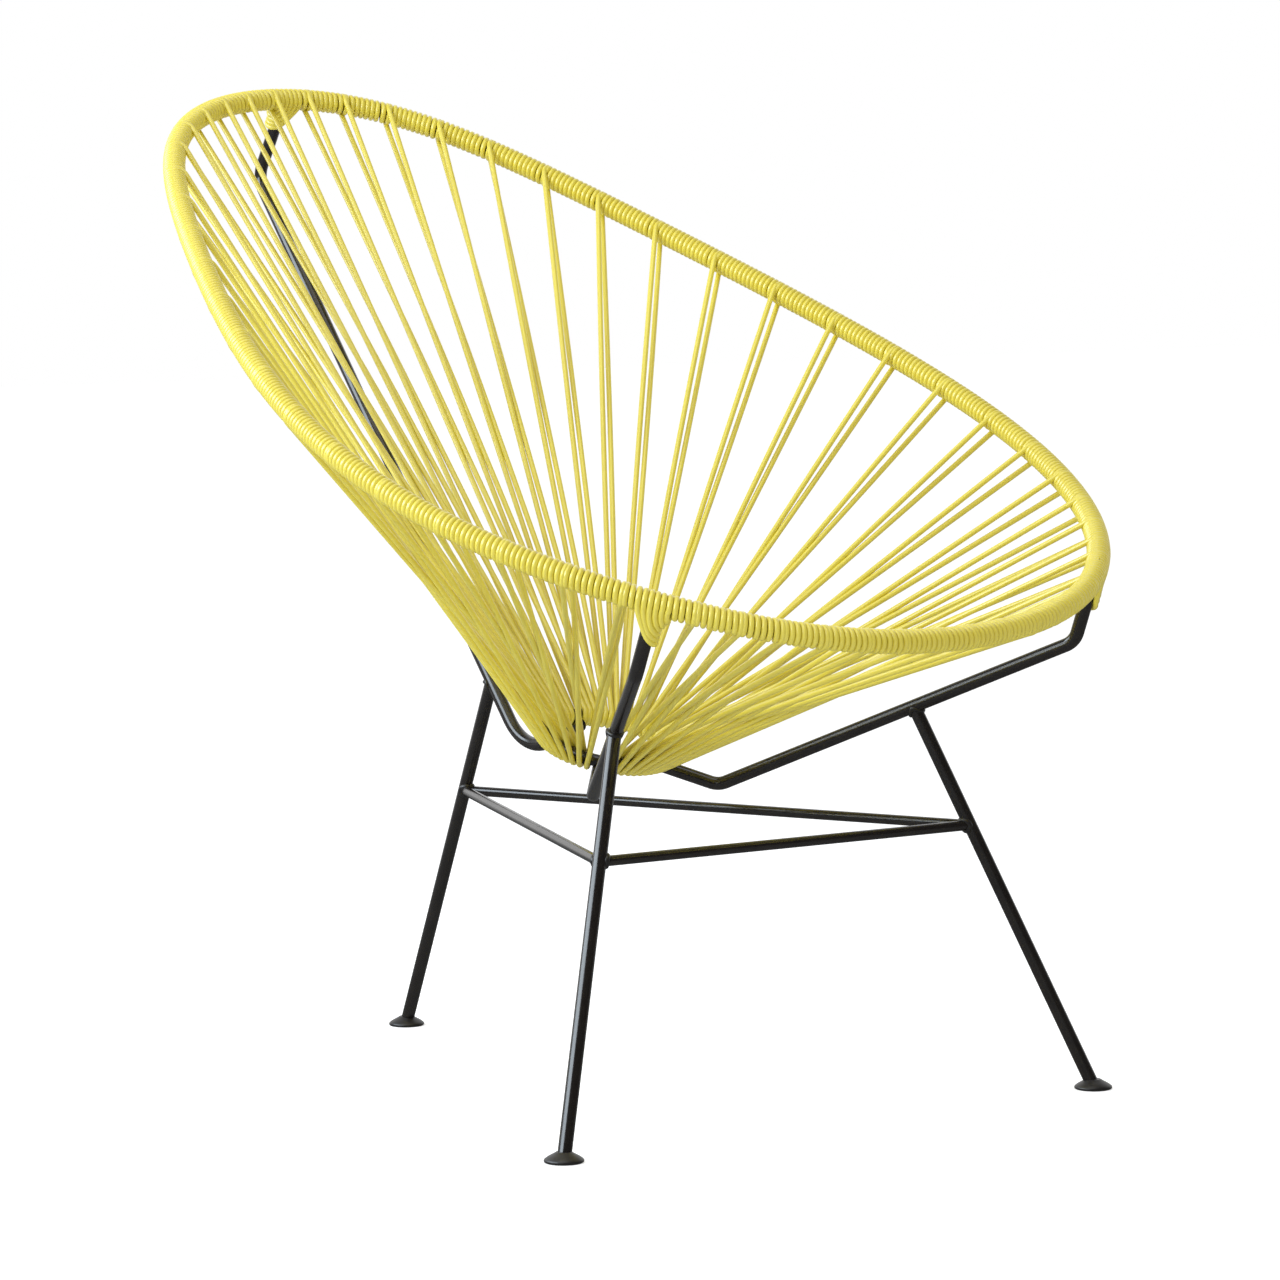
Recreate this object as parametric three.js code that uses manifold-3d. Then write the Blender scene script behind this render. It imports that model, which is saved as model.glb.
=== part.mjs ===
// A lounge chair with a steel rod frame and a bucket seat strung in one kind of round cord.
// Lengths are millimetres. X runs across the chair, -Y is its front, +Z is up and the floor is z = 0.
// The chair is the same on both sides of the plane x = 0.
// Touching pieces are drawn with a small clearance between them.

import * as THREE from "three";
import { mergeVertices } from "three/addons/utils/BufferGeometryUtils.js";
import Module from "manifold-3d";

const wasm = await Module();
wasm.setup();

// Rods and cord
const legRodDiameter = 12;
const strutRodDiameter = 12;
const stretcherRodDiameter = 9;
const hoopRodDiameter = 11;
const ringRodDiameter = 11;
const woundCordDiameter = 4.8;
const strungCordDiameter = 4.4;
const cordPitch = 5.1;
const clearance = 0.3;

// Rim hoop: an egg-shaped oval, high at the back and low at the front.
// The shares say how far each further wave of the oval bends it away from a plain ellipse.
const hoopHalfWidth = 344.4;
const hoopHalfDepth = 511.9;
const hoopHalfRise = 228.7;
const hoopCentreY = 71.5;
const hoopCentreZ = 624.8;
const hoopAcrossShares = [1, -0.037, -0.02, 0.017, 0.017];
const hoopAlongShares = [1, 0.091, -0.021, -0.006, -0.004];
const hoopHeightShares = [1, 0.114, -0.005, -0.009, 0.002];
const hoopRings = 48;
const hoopSides = 8;

// Seat ring, tilted up towards the back
const ringRadius = 57;
const ringCentreY = 83;
const ringCentreZ = 300;
const ringTilt = THREE.MathUtils.degToRad(18);
const ringRings = 32;
const ringSides = 8;

// Feet: round glides
const footRadius = 16.7;
const footEdgeHeight = 2.6;
const footHeight = 8.5;
const footNeckRadius = 7.2;
const footBaseShare = 0.86;
const footEdgeStartShare = 0.4;
const footEdgeEndShare = 0.75;
const footCrownShare = 0.72;
const footSides = 20;
const frontFootX = 283.8;
const frontFootY = -249.7;
const backFootY = 415.8;

// Leg tops, on the axes of the struts
const frontTopX = 160.8;
const frontTopY = -153.1;
const frontTopZ = 337.7;
const backTopY = 267.1;
const backTopZ = 338.8;
const stretcherHeight = 233.5;

// Struts: from under the ring, down to the low bend, along to the high bend and up to the hoop
const frontLowBendX = 68.5;
const frontLowBendY = 10.1;
const frontLowBendZ = 261;
const frontHighBendX = 232.7;
const frontHighBendY = -284.1;
const frontHighBendZ = 399.7;
const backLowBendY = 213;
const backLowBendZ = 276;
const backHighBendY = 664.1;
const backHighBendZ = 801.5;
const bendRadius = 20;
const bendSteps = 5;
const strutOverrun = 8;
const seatingPasses = 6;
const strutSides = 10;
const rodSides = 12;
const frontStrutRingAngle = THREE.MathUtils.degToRad(138.5);
const frontStrutHoopLength = 1192.6;

// Strung cord pairs, counted by hand: each side from the back, then the front between the struts
const sidePairs = 20;
const frontPairs = 13;
const firstSidePair = 25;
const lastSidePair = 1162;
const firstFrontPair = 34;
const sideSpacingPeakShare = 0.52;
const sideSpacingDroopShare = 2.2;
const ringGapAtFrontStrut = THREE.MathUtils.degToRad(11.5);
const ringGapInFront = THREE.MathUtils.degToRad(9);
const ringGapAtBackStrut = THREE.MathUtils.degToRad(11);
const pairGapShareAtHoop = 0.75;
const strungSides = 5;
const loopCorners = 4;

// Winding on the hoop: one turn drawn for every few real ones
const windingTurns = 104;
const windingDepth = 1.5;
const windingSides = 8;
const windingSpareRows = 4;
const cutBlockShare = 12;
const sidePanels = Array(8).fill(2);
const pairsPerPanel = [2, ...sidePanels, 4, 2, 2, 3, 2, 2, 4, ...sidePanels];

// Cord drawn round the hoop and the top of each strut
const fanHalfLength = 16.5;
const fanDrop = 33;
const fanEndHalfLength = 8.4;
const fanEndHalfWidth = 9;
const fanSides = 12;
const fanRings = 4;

const up = new THREE.Vector3(0, 0, 1);
const backward = new THREE.Vector3(0, 1, 0);
const cordYellow = new THREE.MeshStandardMaterial({ color: 0xe0cf56, roughness: 0.32, metalness: 0 });
const frameBlack = new THREE.MeshStandardMaterial({ color: 0x1f1e1e, roughness: 0.38, metalness: 0.2 });

// The hoop's centre line: a sum of a few waves, from the middle of the back towards +X.
class HoopCurve extends THREE.Curve {
  getPoint(t, target = new THREE.Vector3()) {
    const turn = t * 2 * Math.PI;
    let x = 0;
    let y = hoopCentreY;
    let z = hoopCentreZ;
    hoopAcrossShares.forEach((share, i) => (x += hoopHalfWidth * share * Math.sin((i + 1) * turn)));
    hoopAlongShares.forEach((share, i) => (y += hoopHalfDepth * share * Math.cos((i + 1) * turn)));
    hoopHeightShares.forEach((share, i) => (z += hoopHalfRise * share * Math.cos((i + 1) * turn)));
    return target.set(x, y, z);
  }
}

// The seat ring's centre line: a tilted circle, from its back towards +X.
class RingCurve extends THREE.Curve {
  getPoint(t, target = new THREE.Vector3()) {
    const turn = t * 2 * Math.PI;
    const along = ringRadius * Math.cos(turn);
    return target.set(
      ringRadius * Math.sin(turn),
      ringCentreY + along * Math.cos(ringTilt),
      ringCentreZ + along * Math.sin(ringTilt),
    );
  }
}

const hoop = new HoopCurve();
hoop.arcLengthDivisions = 1440;
const hoopLength = hoop.getLength();
const ring = new RingCurve();
const hoopNormal = new THREE.Vector3(0, -hoopHalfRise, hoopHalfDepth).normalize();
const ringNormal = new THREE.Vector3(0, -Math.sin(ringTilt), Math.cos(ringTilt));

// A right-handed set of directions at a point: dir runs along, over leans towards the reference.
function frameAt(point, dir, reference) {
  const side = new THREE.Vector3().crossVectors(reference, dir).normalize();
  const over = new THREE.Vector3().crossVectors(dir, side);
  return { point, dir, side, over };
}

function offset(frame, across, above, along = 0) {
  return frame.point
    .clone()
    .addScaledVector(frame.side, across)
    .addScaledVector(frame.over, above)
    .addScaledVector(frame.dir, along);
}

// Frame on the hoop at a distance along it from the middle of the back
function hoopFrame(distance) {
  const share = (((distance / hoopLength) % 1) + 1) % 1;
  return frameAt(hoop.getPointAt(share), hoop.getTangentAt(share), hoopNormal);
}

function ringFrame(angle) {
  const share = (((angle / (2 * Math.PI)) % 1) + 1) % 1;
  return frameAt(ring.getPoint(share), ring.getTangent(share), ringNormal);
}

function circle(frame, radius, sides) {
  return Array.from({ length: sides }, (_, i) => {
    const turn = (2 * Math.PI * i) / sides;
    return offset(frame, radius * Math.cos(turn), radius * Math.sin(turn));
  });
}

// Turns lists of corner points and faces into a solid.
function solidFrom(points, faces) {
  const geometry = new THREE.BufferGeometry();
  geometry.setAttribute("position", new THREE.Float32BufferAttribute(points.flatMap((p) => p.toArray()), 3));
  geometry.setIndex(faces.flat());
  return solidOf(geometry);
}

function solidOf(geometry) {
  geometry.deleteAttribute("normal");
  geometry.deleteAttribute("uv");
  const merged = mergeVertices(geometry);
  return new wasm.Manifold(
    new wasm.Mesh({
      numProp: 3,
      vertProperties: new Float32Array(merged.attributes.position.array),
      triVerts: new Uint32Array(merged.index.array),
    }),
  );
}

// Joins rings of points into one surface, closed on itself or capped flat at both ends.
function skin(rings, closed = false) {
  const sides = rings[0].length;
  const faces = [];
  const spans = closed ? rings.length : rings.length - 1;
  for (let i = 0; i < spans; i++) {
    const here = i * sides;
    const next = ((i + 1) % rings.length) * sides;
    for (let j = 0; j < sides; j++) {
      const k = (j + 1) % sides;
      faces.push([here + j, here + k, next + k]);
      faces.push([here + j, next + k, next + j]);
    }
  }
  if (!closed) {
    const last = (rings.length - 1) * sides;
    for (let j = 1; j < sides - 1; j++) {
      faces.push([0, j + 1, j]);
      faces.push([last, last + j, last + j + 1]);
    }
  }
  return solidFrom(rings.flat(), faces);
}

// A round rod through a list of points
function rodThrough(points, radius, sides, reference, closed = false) {
  const count = points.length;
  const rings = points.map((point, i) => {
    const before = points[closed ? (i + count - 1) % count : Math.max(i - 1, 0)];
    const after = points[closed ? (i + 1) % count : Math.min(i + 1, count - 1)];
    const toHere = point.clone().sub(before).normalize();
    const toNext = after.clone().sub(point).normalize();
    const dir = toHere.add(toNext).normalize();
    return circle(frameAt(point, dir, reference), radius, sides);
  });
  return skin(rings, closed);
}

// Corners joined by straight runs and round bends of one radius
function bentPath(corners, radius, steps) {
  const points = [corners[0].clone()];
  for (let i = 1; i < corners.length - 1; i++) {
    const into = corners[i].clone().sub(corners[i - 1]).normalize();
    const out = corners[i + 1].clone().sub(corners[i]).normalize();
    const turn = into.angleTo(out);
    const inward = out.clone().sub(into).normalize();
    const centre = corners[i].clone().addScaledVector(inward, radius / Math.cos(turn / 2));
    for (let k = 0; k <= steps; k++) {
      const angle = turn * (k / steps - 0.5);
      const along = into.clone().add(out).normalize();
      points.push(
        centre
          .clone()
          .addScaledVector(inward, -radius * Math.cos(angle))
          .addScaledVector(along, radius * Math.sin(angle)),
      );
    }
  }
  points.push(corners[corners.length - 1].clone());
  return points;
}

// Struts. Each ends under the ring, where the ring lies on it.
const strutRadius = strutRodDiameter / 2;
const ringRodRadius = ringRodDiameter / 2;
const hoopRodRadius = hoopRodDiameter / 2;

function ringSeat(angle, lowBend) {
  const at = ringFrame(angle);
  const depth = strutRadius + ringRodRadius + clearance;
  const seat = at.point.clone().addScaledVector(up, -depth);
  for (let pass = 0; pass < seatingPasses; pass++) {
    const dir = seat.clone().sub(lowBend).normalize();
    const down = new THREE.Vector3().crossVectors(dir, at.dir).normalize();
    if (down.z > 0) down.negate();
    seat.copy(at.point).addScaledVector(down, depth);
  }
  const dir = seat.clone().sub(lowBend).normalize();
  return seat.addScaledVector(dir, strutOverrun);
}

function strutCorners(side) {
  if (side === 0) {
    const lowBend = new THREE.Vector3(0, backLowBendY, backLowBendZ);
    const highBend = new THREE.Vector3(0, backHighBendY, backHighBendZ);
    return [ringSeat(0, lowBend), lowBend, highBend, hoopFrame(0).point];
  }
  const lowBend = new THREE.Vector3(side * frontLowBendX, frontLowBendY, frontLowBendZ);
  const highBend = new THREE.Vector3(side * frontHighBendX, frontHighBendY, frontHighBendZ);
  const seat = ringSeat(side * frontStrutRingAngle, lowBend);
  return [seat, lowBend, highBend, hoopFrame(side * frontStrutHoopLength).point];
}

function strutRod(side, growth = 0) {
  const corners = strutCorners(side);
  const long = corners[2].clone().sub(corners[1]);
  const across = new THREE.Vector3().crossVectors(long, up).normalize();
  return rodThrough(bentPath(corners, bendRadius, bendSteps), strutRadius + growth, strutSides, across);
}

// Hoop and ring rods, and the same rods grown by a clearance for cutting their neighbours
function hoopRod(growth = 0) {
  const rings = Array.from({ length: hoopRings }, (_, i) =>
    circle(hoopFrame((hoopLength * i) / hoopRings), hoopRodRadius + growth, hoopSides),
  );
  return skin(rings, true);
}

function ringRod(growth = 0) {
  const rings = Array.from({ length: ringRings }, (_, i) =>
    circle(ringFrame((2 * Math.PI * i) / ringRings), ringRodRadius + growth, ringSides),
  );
  return skin(rings, true);
}

const hoopRoom = hoopRod(clearance);
const ringRoom = ringRod(clearance);
const sideOf = { back: 0, right: 1, left: -1 };
const strutRoom = {};
for (const [name, side] of Object.entries(sideOf)) strutRoom[name] = strutRod(side, clearance);

// Legs run from the middle of a foot to the axis of a strut.
function footCentre(side) {
  return side === 0
    ? new THREE.Vector3(0, backFootY, footEdgeHeight)
    : new THREE.Vector3(side * frontFootX, frontFootY, footEdgeHeight);
}

function legTop(side) {
  return side === 0
    ? new THREE.Vector3(0, backTopY, backTopZ)
    : new THREE.Vector3(side * frontTopX, frontTopY, frontTopZ);
}

function legRod(side, growth = 0) {
  const ends = [footCentre(side), legTop(side)];
  return rodThrough(ends, legRodDiameter / 2 + growth, rodSides, backward);
}

function legAtHeight(side, height) {
  const from = footCentre(side);
  const to = legTop(side);
  return from.lerp(to, (height - from.z) / (to.z - from.z));
}

// A foot: a flat glide with a rounded edge and a domed top
function footSolid(side, growth = 0) {
  const shoulder = footRadius * footBaseShare;
  const crown = footHeight * footCrownShare;
  const profile = [
    [0, -growth],
    [shoulder + growth, -growth],
    [footRadius + growth, footEdgeHeight * footEdgeStartShare],
    [footRadius + growth, footEdgeHeight * footEdgeEndShare],
    [shoulder + growth, footEdgeHeight + growth],
    [(shoulder + footNeckRadius) / 2 + growth, crown + growth],
    [footNeckRadius + growth, footHeight + growth],
    [0, footHeight + growth],
  ].map(([r, z]) => new THREE.Vector2(r, z));
  const foot = new THREE.LatheGeometry(profile, footSides);
  foot.rotateX(Math.PI / 2);
  const at = footCentre(side);
  foot.translate(at.x, at.y, 0);
  return solidOf(foot);
}

// Stretchers join the legs in a triangle.
function stretcherRod(fromSide, toSide, growth = 0) {
  const ends = [legAtHeight(fromSide, stretcherHeight), legAtHeight(toSide, stretcherHeight)];
  return rodThrough(ends, stretcherRodDiameter / 2 + growth, rodSides, up);
}

// Places of the strung pairs along the hoop and round the ring, in order from the back's left half.
const woundRadius = hoopRodRadius + clearance + woundCordDiameter / 2;
const loopRadius = ringRodRadius + clearance + strungCordDiameter / 2;

function sidePlaces() {
  const weights = [];
  for (let i = 1; i < sidePairs; i++) {
    const share = i / (sidePairs - 1);
    weights.push(1 - sideSpacingDroopShare * (share - sideSpacingPeakShare) ** 2);
  }
  const whole = weights.reduce((a, b) => a + b, 0);
  const span = lastSidePair - firstSidePair;
  const ringSpan = frontStrutRingAngle - ringGapAtFrontStrut - ringGapAtBackStrut;
  const places = [];
  let gone = 0;
  for (let i = 0; i < sidePairs; i++) {
    if (i > 0) gone += weights[i - 1];
    places.push({
      along: firstSidePair + (span * gone) / whole,
      angle: ringGapAtBackStrut + (ringSpan * i) / (sidePairs - 1),
    });
  }
  return places;
}

function pairPlaces() {
  const right = sidePlaces();
  const left = right.map(({ along, angle }) => ({ along: -along, angle: -angle })).reverse();
  const frontFrom = frontStrutHoopLength + firstFrontPair;
  const frontTo = hoopLength - frontFrom;
  const angleFrom = frontStrutRingAngle + ringGapInFront;
  const angleTo = 2 * Math.PI - angleFrom;
  const front = Array.from({ length: frontPairs }, (_, i) => {
    const share = i / (frontPairs - 1);
    return {
      along: THREE.MathUtils.lerp(frontFrom, frontTo, share),
      angle: THREE.MathUtils.lerp(angleFrom, angleTo, share),
    };
  });
  const around = left.map(({ along, angle }) => ({ along: along + hoopLength, angle: angle + 2 * Math.PI }));
  const nearBack = { along: left[sidePairs - 1].along, angle: left[sidePairs - 1].angle };
  return [nearBack, ...right, ...front, ...around.slice(0, -1)];
}

// One pair: from the upper side of the hoop to under the ring, round the inside of the ring
// and from its upper side back to under the hoop. The two strands pass side by side on the way.
function strungPair({ along, angle }) {
  const atRing = ringFrame(angle);
  const atHoop = hoopFrame(along);
  const run = atRing.point.clone().sub(atHoop.point).normalize();
  const pairGap = strungCordDiameter + clearance;
  const gapAtHoop = pairGap * pairGapShareAtHoop;
  const gapAtRing = pairGap - gapAtHoop;
  const leanShare = (dir) => Math.sqrt(1 - dir.dot(run) ** 2);
  const hoopShift = gapAtHoop / leanShare(atHoop.dir);
  const ringShift = gapAtRing / leanShare(atRing.dir);
  const upperSide = (dir) => {
    const normal = new THREE.Vector3().crossVectors(dir, run).normalize();
    return normal.z < 0 ? normal.negate() : normal;
  };
  const hoopEnd = (shift, height) => {
    const at = hoopFrame(along + shift);
    return at.point.clone().addScaledVector(upperSide(at.dir), height);
  };
  const above = upperSide(atRing.dir);
  const inward = new THREE.Vector3().crossVectors(above, atRing.dir).normalize();
  if (inward.dot(run) < 0) inward.negate();
  const points = [hoopEnd(-hoopShift, woundRadius)];
  const cornerRadius = loopRadius / Math.cos(Math.PI / (2 * loopCorners));
  for (let i = 0; i < loopCorners; i++) {
    const turn = (Math.PI * (i + 0.5)) / loopCorners;
    points.push(
      atRing.point
        .clone()
        .addScaledVector(above, -cornerRadius * Math.cos(turn))
        .addScaledVector(inward, cornerRadius * Math.sin(turn))
        .addScaledVector(atRing.dir, THREE.MathUtils.lerp(-ringShift, ringShift, i / (loopCorners - 1))),
    );
  }
  points.push(hoopEnd(hoopShift, -woundRadius));
  return rodThrough(points, strungCordDiameter / 2, strungSides, atRing.dir);
}

// The winding between two places on the hoop: one helical ridge along a round sleeve
const windingOuter = hoopRodRadius + clearance + woundCordDiameter;

function windingBetween(from, to) {
  const pitch = hoopLength / windingTurns;
  const step = pitch / 2;
  const first = 2 * Math.floor(from / pitch) - windingSpareRows;
  const last = 2 * Math.ceil(to / pitch) + windingSpareRows;
  const points = [];
  const faces = [];
  const rows = last - first;
  for (let i = 0; i <= rows; i++) {
    const radius = i % 2 === 0 ? windingOuter : windingOuter - windingDepth;
    for (let j = 0; j < windingSides; j++) {
      const turn = (2 * Math.PI * j) / windingSides;
      const at = hoopFrame((first + i) * step + (pitch * j) / windingSides);
      points.push(offset(at, radius * Math.cos(turn), radius * Math.sin(turn)));
    }
  }
  const corner = (i, j) => (j < windingSides ? i * windingSides + j : (i + 2) * windingSides);
  for (let i = 0; i < rows; i++) {
    for (let j = 0; j < windingSides; j++) {
      if (j === windingSides - 1 && i + 3 > rows) continue;
      faces.push([corner(i, j), corner(i, j + 1), corner(i + 1, j + 1)]);
      faces.push([corner(i, j), corner(i + 1, j + 1), corner(i + 1, j)]);
    }
  }
  const startEdge = [];
  for (let j = 0; j <= windingSides; j++) startEdge.push(corner(0, j));
  startEdge.push(corner(1, 0));
  const endEdge = [];
  for (let j = 0; j < windingSides; j++) endEdge.push(corner(rows, j));
  endEdge.push(corner(rows - 1, windingSides - 1));
  endEdge.push(corner(rows - 2, windingSides - 1));
  const startMiddle = points.push(hoopFrame(first * step + pitch / 2).point) - 1;
  const endMiddle = points.push(hoopFrame(last * step + pitch / 2).point) - 1;
  startEdge.forEach((p, i) => faces.push([startMiddle, startEdge[(i + 1) % startEdge.length], p]));
  endEdge.forEach((p, i) => faces.push([endMiddle, p, endEdge[(i + 1) % endEdge.length]]));
  const long = solidFrom(points, faces);
  return long.subtract(blockAt(from, -1)).subtract(blockAt(to, 1));
}

// A block that takes away the hoop's winding on one side of a place
function blockAt(distance, sign) {
  const at = hoopFrame(distance);
  const size = cutBlockShare * windingOuter;
  const block = new THREE.BoxGeometry(size, size, size);
  const turn = new THREE.Matrix4().makeBasis(at.side, at.over, at.dir);
  block.applyMatrix4(turn);
  const middle = offset(at, 0, 0, sign * (size / 2 - clearance / 2));
  block.translate(middle.x, middle.y, middle.z);
  return solidOf(block);
}

// Cord drawn round the hoop and the top of a strut: wide along the hoop, narrow round the strut
function strutFan(side) {
  const corners = strutCorners(side);
  const at = hoopFrame(side * frontStrutHoopLength);
  const down = corners[2].clone().sub(corners[3]).normalize();
  const across = new THREE.Vector3().crossVectors(down, at.dir).normalize();
  const along = new THREE.Vector3().crossVectors(across, down);
  const rings = [];
  for (let i = 0; i <= fanRings; i++) {
    const share = i / fanRings;
    const halfLength = THREE.MathUtils.lerp(fanHalfLength, fanEndHalfLength, share);
    const halfWidth = THREE.MathUtils.lerp(windingOuter - windingDepth, fanEndHalfWidth, share);
    const point = at.point.clone().addScaledVector(down, fanDrop * share);
    const frame = { point, side: along, over: across, dir: down };
    rings.push(
      Array.from({ length: fanSides }, (_, k) => {
        const turn = (2 * Math.PI * k) / fanSides;
        return offset(frame, halfLength * Math.cos(turn), -halfWidth * Math.sin(turn));
      }),
    );
  }
  const fan = skin(rings);
  return fan.volume() < 0 ? skin(rings.reverse()) : fan;
}

// Panels of the strung seat: a few pairs each, with the winding that carries them
function panelSolids() {
  const places = pairPlaces();
  const count = places.length;
  const placeAlong = (i) => places[((i % count) + count) % count].along + Math.floor(i / count) * hoopLength;
  const solids = [];
  let first = 0;
  for (const size of pairsPerPanel) {
    const last = first + size - 1;
    const from = (placeAlong(first - 1) + placeAlong(first)) / 2;
    const to = (placeAlong(last) + placeAlong(last + 1)) / 2;
    let panel = windingBetween(from, to);
    for (const side of Object.values(sideOf)) {
      const seat = side < 0 ? hoopLength - frontStrutHoopLength : side * frontStrutHoopLength;
      if (seat > from && seat < to) panel = panel.add(strutFan(side));
    }
    for (let i = first; i <= last; i++) panel = panel.add(strungPair(places[i]));
    panel = panel.subtract(hoopRoom);
    for (const room of Object.values(strutRoom)) panel = panel.subtract(room);
    solids.push(panel);
    first = last + 1;
  }
  return solids;
}

function asMesh(name, solid, material) {
  const mesh = solid.getMesh();
  const geometry = new THREE.BufferGeometry();
  geometry.setAttribute("position", new THREE.BufferAttribute(new Float32Array(mesh.vertProperties), 3));
  geometry.setIndex(new THREE.BufferAttribute(new Uint32Array(mesh.triVerts), 1));
  const made = new THREE.Mesh(geometry, material);
  made.name = name;
  return made;
}

const chair = new THREE.Group();
chair.add(asMesh("rim_hoop", hoopRod(), frameBlack));
chair.add(asMesh("seat_ring", ringRod(), frameBlack));
for (const [name, side] of Object.entries(sideOf)) {
  const foot = footSolid(side);
  const leg = legRod(side).subtract(strutRoom[name]).subtract(footSolid(side, clearance));
  const strut = strutRod(side).subtract(hoopRoom).subtract(ringRoom);
  chair.add(asMesh("foot_" + name, foot, frameBlack));
  chair.add(asMesh("leg_" + name, leg, frameBlack));
  chair.add(asMesh("strut_" + name, strut, frameBlack));
}
const stretcherRooms = [];
for (const [from, to] of [["left", "right"], ["right", "back"], ["back", "left"]]) {
  const legRooms = [legRod(sideOf[from], clearance), legRod(sideOf[to], clearance)];
  let rod = stretcherRod(sideOf[from], sideOf[to]);
  for (const room of [...legRooms, ...stretcherRooms]) rod = rod.subtract(room);
  stretcherRooms.push(stretcherRod(sideOf[from], sideOf[to], clearance));
  chair.add(asMesh("stretcher_" + from + "_" + to, rod, frameBlack));
}
panelSolids().forEach((solid, i) => {
  chair.add(asMesh("cord_panel_" + String(i + 1).padStart(2, "0"), solid, cordYellow));
});

// The origin is on the floor under the middle of the chair's box.
const box = new THREE.Box3().setFromObject(chair);
chair.position.y = -(box.min.y + box.max.y) / 2;

export default chair;
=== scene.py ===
import math

import bpy
import numpy as np
from mathutils import Matrix, Vector


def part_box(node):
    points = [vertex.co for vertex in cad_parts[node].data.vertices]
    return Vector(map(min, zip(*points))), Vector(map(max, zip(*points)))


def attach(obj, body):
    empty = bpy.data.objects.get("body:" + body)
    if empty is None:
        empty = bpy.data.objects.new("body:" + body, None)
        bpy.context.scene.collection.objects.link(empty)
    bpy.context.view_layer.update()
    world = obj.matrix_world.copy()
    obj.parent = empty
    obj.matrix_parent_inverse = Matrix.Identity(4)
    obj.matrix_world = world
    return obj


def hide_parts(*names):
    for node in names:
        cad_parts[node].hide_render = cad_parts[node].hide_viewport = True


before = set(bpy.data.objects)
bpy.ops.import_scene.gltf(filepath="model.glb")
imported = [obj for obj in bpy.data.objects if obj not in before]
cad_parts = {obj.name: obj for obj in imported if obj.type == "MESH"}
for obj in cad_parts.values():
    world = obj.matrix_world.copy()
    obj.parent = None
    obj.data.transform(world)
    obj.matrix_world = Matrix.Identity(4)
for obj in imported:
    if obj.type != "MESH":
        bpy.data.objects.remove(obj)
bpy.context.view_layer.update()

MM = 0.001
QUARTER_TURN = math.pi / 2
FULL_TURN = 2 * math.pi
UP = np.array([0.0, 0.0, 1.0])

# Rods and cord; a thickness or fullness is a share of the cord's diameter or pitch
LEG_DIAMETER = 12 * MM
STRUT_DIAMETER = 12 * MM
STRETCHER_DIAMETER = 9 * MM
HOOP_DIAMETER = 11 * MM
RING_DIAMETER = 11 * MM
CORD_DIAMETER = 5.0 * MM
CORD_PITCH = 5.1 * MM
TAUT_THICKNESS = 0.9

# How finely the rods are drawn, and the rounding of their ends as shares: its length, places and girths
ROD_SIDES = 28
HOOP_POINTS = 240
RING_POINTS = 96
ROD_END_SHARE = 0.08
ROD_END_PLACES = (0, 0.3, 1)
ROD_END_GIRTHS = (0.84, 0.95)

# Rim hoop: half sizes, centre, and the share of each further wave
HOOP_HALF_WIDTH = 344.4 * MM
HOOP_HALF_DEPTH = 511.9 * MM
HOOP_HALF_RISE = 228.7 * MM
HOOP_CENTRE_Y = 71.5 * MM
HOOP_CENTRE_Z = 624.8 * MM
HOOP_ACROSS = (1, -0.037, -0.02, 0.017, 0.017)
HOOP_ALONG = (1, 0.091, -0.021, -0.006, -0.004)
HOOP_HEIGHT = (1, 0.114, -0.005, -0.009, 0.002)
HOOP_SAMPLES = 20000
HOOP_TURN_STEP = 1e-4

# Seat ring
RING_RADIUS = 57 * MM
RING_CENTRE_Y = 83 * MM
RING_CENTRE_Z = 300 * MM
RING_TILT = math.radians(18)

# Feet: the profile's radii and heights are shares, from the edge of the flat underside up to the leg
FOOT_RADIUS = 16.7 * MM
FOOT_HEIGHT = 8.8 * MM
FOOT_EDGE = 2.6 * MM
FOOT_PROFILE = ((0.86, 0.0), (0.93, 0.02), (0.975, 0.07), (1.0, 0.16), (0.995, 0.25), (0.965, 0.34),
                (0.90, 0.44), (0.80, 0.57), (0.68, 0.70), (0.57, 0.81), (0.49, 0.89), (0.44, 0.95),
                (0.40, 1.0), (0.36, 1.0))
FOOT_SEGMENTS = 56

# Places of the feet, leg tops, stretchers and struts; the far end of each strut meets the hoop
FRONT_FOOT = (283.8 * MM, -249.7 * MM)
BACK_FOOT = (0, 415.8 * MM)
FRONT_LEG_TOP = (160.8 * MM, -153.1 * MM, 337.7 * MM)
BACK_LEG_TOP = (0, 267.1 * MM, 338.8 * MM)
STRETCHER_HEIGHT = 233.5 * MM
FRONT_LOW_BEND = (68.5 * MM, 10.1 * MM, 261 * MM)
FRONT_HIGH_BEND = (232.7 * MM, -284.1 * MM, 399.7 * MM)
BACK_LOW_BEND = (0, 213 * MM, 276 * MM)
BACK_HIGH_BEND = (0, 664.1 * MM, 801.5 * MM)
BEND_RADIUS = 20 * MM
BACK_LOW_BEND_RADIUS = 55 * MM
BEND_STEPS = 14
STRUT_OVERRUN = 8 * MM
STRUT_RING_ANGLE = math.radians(138.5)
STRUT_HOOP_LENGTH = 1192.6 * MM
RING_SEAT_ROUNDS = 6
SIDES = {"back": 0, "right": 1, "left": -1}
STRETCHERS = (("left", "right"), ("right", "back"), ("back", "left"))

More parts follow.
